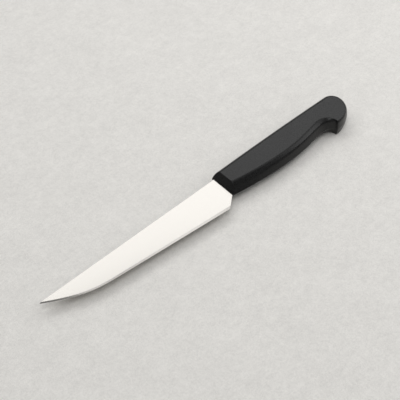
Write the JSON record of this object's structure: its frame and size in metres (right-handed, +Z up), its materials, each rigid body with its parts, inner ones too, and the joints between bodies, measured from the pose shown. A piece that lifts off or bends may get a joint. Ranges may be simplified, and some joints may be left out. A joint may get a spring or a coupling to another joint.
{
  "type": "cheese knife",
  "caption": "Long pointed flat blade with a slanted heel, in a slim black moulded handle with a finger recess and a hooked pommel, for slicing and portioning cheese.",
  "frame": {"origin": "middle of the knife's box, on the surface that it lies on", "axes": "+X from the point to the pommel, +Y from the edge to the spine, +Z up, square to the flanks"},
  "size_m": [0.271, 0.0282, 0.0141],
  "materials": {
    "steel": "fine satin, ground from the spine to the edge",
    "black_plastic": "fine matte moulded skin"
  },
  "bodies": {
    "root": {"blade": "steel", "handle": "black_plastic"}
  },
  "joints": []
}
